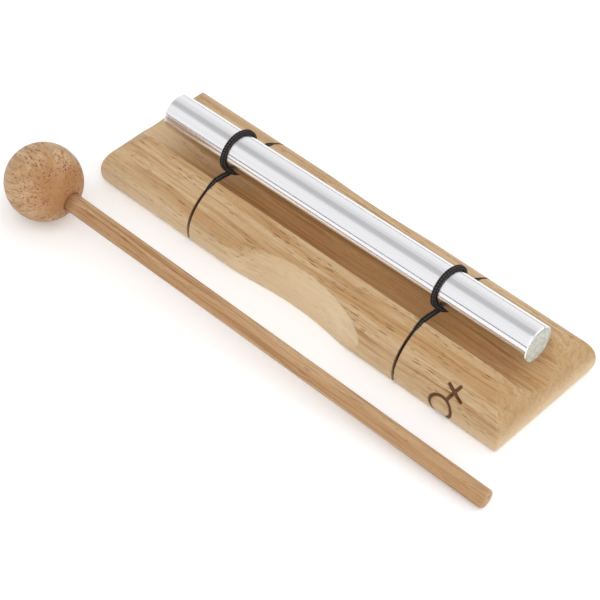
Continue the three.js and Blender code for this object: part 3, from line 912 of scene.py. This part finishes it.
# Sawn end: arcs over a mottled grey, as the sine of the distance from a centre well off the bar
# plus a wander of noise
def sawnAluminium(s):
    material, tree, shader = freshMaterial("sawnAluminium")
    grain = attribute(tree, "grain", "Vector")
    fromBlade = vectorCalc("ADD", grain, s["bladeCentre"])
    fromBlade = vectorCalc("MULTIPLY", fromBlade, (0.0, 1.0, 1.0))
    distance = vectorCalc("LENGTH", fromBlade, output="Value")
    wander = noise(grain, s["wanderScale"], 3)
    phase = weighed(distance, s["arcTurn"], wander, s["arcWander"])
    arcs = spread(calc("SINE", phase), -1.0, 1.0)
    mottle = noise(grain, s["mottleScale"], 4, 0.7)
    relief = weighed(arcs, s["arcShare"], mottle, s["mottleShare"])
    feed(shader, {
        "Base Color": mixed(spread(relief, *s["sawnEdges"]), s["sawnDeep"], s["sawn"]),
        "Metallic": 1.0,
        "Roughness": spread(mottle, 0.3, 0.7, *s["sawnRoughness"]),
        "Normal": bumped(relief, *s["sawnBump"]),
    })
    return material


# Each half of the profile is an end face, its chamfer with both edges rounded, and the side
def makeBar(s):
    half, r, c, e = bench["barLength"] / 2, barRadius, s["chamfer"], s["edgeRound"]
    face = [(0, 0.4), (0, r * 0.4), (0, r * 0.75), (0, r - c - e), (e * 0.3, r - c + e * 0.3),
            (c - e * 0.7, r - e * 0.7), (c - e * 0.2, r - e * 0.2), (c + e, r)]
    inset = half - s["middleInset"]
    profile = [(v - half, w) for v, w in face]
    profile += [(v, r) for v in np.linspace(-inset, inset, s["middleRings"])]
    profile += [(half - v, w) for v, w in face[::-1]]
    centre = barAlong * bench["barShift"] + np.array((0, 0, barZ))
    made = turnedPiece("soundBar", profile, centre, barAlong, drawnAluminium(s), sides=s["sides"])
    made.data.materials.append(sawnAluminium(s))
    middles = np.empty(len(made.data.polygons) * 3)
    made.data.polygons.foreach_get("center", middles)
    away = np.abs((middles.reshape(-1, 3) * 1000 - centre) @ barAlong)
    made.data.polygons.foreach_set("material_index", (away > half - s["faceMargin"]).astype(np.int32))
    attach(made, "bar")
    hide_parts("chime_bar")


makeBar(bar)
print("bar turned")

# Mallet

mallet = {
    "headFibre": (0.892, -0.228, 0.388),
    "headSides": 160, "headRings": 110, "stickSides": 64, "stickRings": 40,
    "poleGap": 0.015,        # angle that the far pole's cap closes
    "mouthRound": 0.15, "tipRound": 0.35, "seam": 0.04,
    "glued": 0.3,            # mm between the bore's floor and the stick's end
    "headSeamShade": (0.3, 0.5, 0.6, 0.7, 1.0, 1.0),     # at the last rings, into the bore
    # a dark joint and painted shade into the bore, at the ball's last rings and the stick's first
    "stickSeamShade": (1.0, 1.0, 0.9),
    "stickSand": 0.9,        # finer pores than the ball's
}


# The ball runs from its far pole to the bore's floor. The stick dips until its tip is on the table.
def makeMallet(s, material):
    radius, stick = bench["headDiameter"] / 2, bench["stickDiameter"] / 2
    rim = bench["stickReach"] - bench["stickChamfer"]
    dip = math.asin(radius / math.hypot(rim, stick)) - math.atan2(stick, rim)
    turn = bench["stickTurn"]
    axis = (math.cos(dip) * math.cos(turn), math.cos(dip) * math.sin(turn), -math.sin(dip))
    centre = (*bench["headPlace"], radius)

    bore = stick + s["seam"]
    mouth = math.asin((bore + s["mouthRound"]) / radius)
    lip = radius * math.cos(mouth)
    floor = lip - bench["boreDepth"]
    angles = np.linspace(math.pi - s["poleGap"], mouth, s["headRings"])
    head = [(radius * math.cos(a), radius * math.sin(a)) for a in angles]
    head += [(lip - 0.05, bore + 0.1), (lip - 0.3, bore), (floor, bore), (floor, 0.3)]
    # painted shade into the bore, with the dark joint, on the ball's last rings
    seam = [0.0] * (len(head) - len(s["headSeamShade"])) + [*s["headSeamShade"]]
    ball = turnedPiece("malletBall", head, centre, axis, material, fibre=s["headFibre"],
                       sides=s["headSides"], marks=(("scorchAndShade", seam),))
    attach(ball, "mallet")
    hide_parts("mallet_head")

    inner, tip = floor + s["glued"], bench["stickReach"]
    c, e = bench["stickChamfer"], s["tipRound"]
    rod = [(inner, 0.3), (inner, stick)]
    rod += [(v, stick) for v in np.linspace(lip - 0.3, tip - c - e, s["stickRings"])]
    rod += [(tip - c * 0.8, stick - 0.06), (tip - c * 0.35, stick - c * 0.4),
            (tip - 0.06, stick - c * 0.85), (tip, stick - c - 0.25), (tip, stick * 0.5), (tip, 0.3)]
    # painted shade into the bore, with the dark joint, on the stick's first rings
    seam = [*s["stickSeamShade"]] + [0.0] * (len(rod) - len(s["stickSeamShade"]))
    quiet = [s["stickSand"]] * len(rod)
    dowel = turnedPiece("malletDowel", rod, centre, axis, material, sides=s["stickSides"],
                        marks=(("scorchAndShade", seam), ("sandAndPaintedLight", quiet)), sharpAbove=50)
    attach(dowel, "mallet")
    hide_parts("mallet_stick")


makeMallet(mallet, malletWood)
print("mallet turned")

# Studio

studio = {
    # light by degrees from straight up towards the front, with dark lines at the horizon
    "tent": ((-94, 1.0), (-91.5, 0.15), (-86.5, 0.15), (-84, 1.0), (-60, 1.0), (-20, 0.82),
             (-8, 0.6), (10, 0.57), (18, 0.67), (27, 0.95), (60, 0.98), (84, 1.02),
             (86.5, 0.15), (91.5, 0.15), (94, 1.0)),
    "tentBlue": 1.01,
    "worldStrength": (1.0, 1.42), "rightFrom": (-0.3, 0.25),    # more at the right
    "floorHalf": 4.0, "floorDrop": 0.0002, "floorColor": (0.96, 0.96, 0.96, 1),
    "floorRoughness": 0.9, "floorSpecular": 0.2, "floorLift": 0.1,
    "softbox": {"place": (0.6, -0.45, 1.5), "size": 1.2, "power": 5},
}


def makeSoftbox(s):
    data = bpy.data.lights.new("sideSoftbox", "AREA")
    data.shape = "RECTANGLE"
    data.size = data.size_y = s["size"]
    data.energy = s["power"]
    lamp = link(bpy.data.objects.new("sideSoftbox", data))
    lamp.location = s["place"]
    lamp.rotation_euler = (-Vector(s["place"])).to_track_quat("-Z", "Y").to_euler()


# The tent's light follows the angle whose tangent is the way to the front over the way up
def makeTent(s):
    world = bpy.data.worlds.new("tent")
    bpy.context.scene.world = world
    world.use_nodes = True
    tree = world.node_tree
    way = tree.nodes.new("ShaderNodeTexCoord").outputs["Generated"]
    apart = put("ShaderNodeSeparateXYZ", {0: way})
    angle = calc("ARCTAN2", calc("MULTIPLY", apart.outputs["Y"], -1.0), apart.outputs["Z"])
    place = put("ShaderNodeMapRange", {"Value": angle, "From Min": -math.pi, "From Max": math.pi})
    ramp = put("ShaderNodeValToRGB", {"Fac": place.outputs["Result"]})
    ramp.color_ramp.interpolation = "EASE"
    stops = ramp.color_ramp.elements
    while len(stops) > 1:
        stops.remove(stops[-1])
    for n, (degrees, level) in enumerate(s["tent"]):
        stop = stops[0] if n == 0 else stops.new(0.5 + degrees / 360)
        stop.position = 0.5 + degrees / 360
        stop.color = (level, level, level * s["tentBlue"], 1)
    gain = spread(apart.outputs["X"], *s["rightFrom"], *s["worldStrength"])
    feed(tree.nodes["Background"], {"Color": ramp.outputs["Color"], "Strength": gain})


def makeFloor(s):
    h, z = s["floorHalf"], -s["floorDrop"]
    mesh = bpy.data.meshes.new("floor")
    mesh.from_pydata([(-h, -h, z), (h, -h, z), (h, h, z), (-h, h, z)], [], [(0, 1, 2, 3)])
    floor = link(bpy.data.objects.new("floor", mesh))
    material, tree, shader = freshMaterial("floorPaper")
    # the paper is a little lighter to the camera and in mirrors only
    rays = tree.nodes.new("ShaderNodeLightPath").outputs
    seen = calc("MAXIMUM", rays["Is Camera Ray"], rays["Is Glossy Ray"])
    feed(shader, {
        "Base Color": s["floorColor"],
        "Roughness": s["floorRoughness"],
        "Specular IOR Level": s["floorSpecular"],
        "Emission Color": (1, 1, 1, 1),
        "Emission Strength": calc("MULTIPLY", seen, s["floorLift"]),
    })
    mesh.materials.append(material)


bpy.context.scene.view_settings.view_transform = "Standard"
makeTent(studio)
makeFloor(studio)
makeSoftbox(studio["softbox"])
print("studio lit")
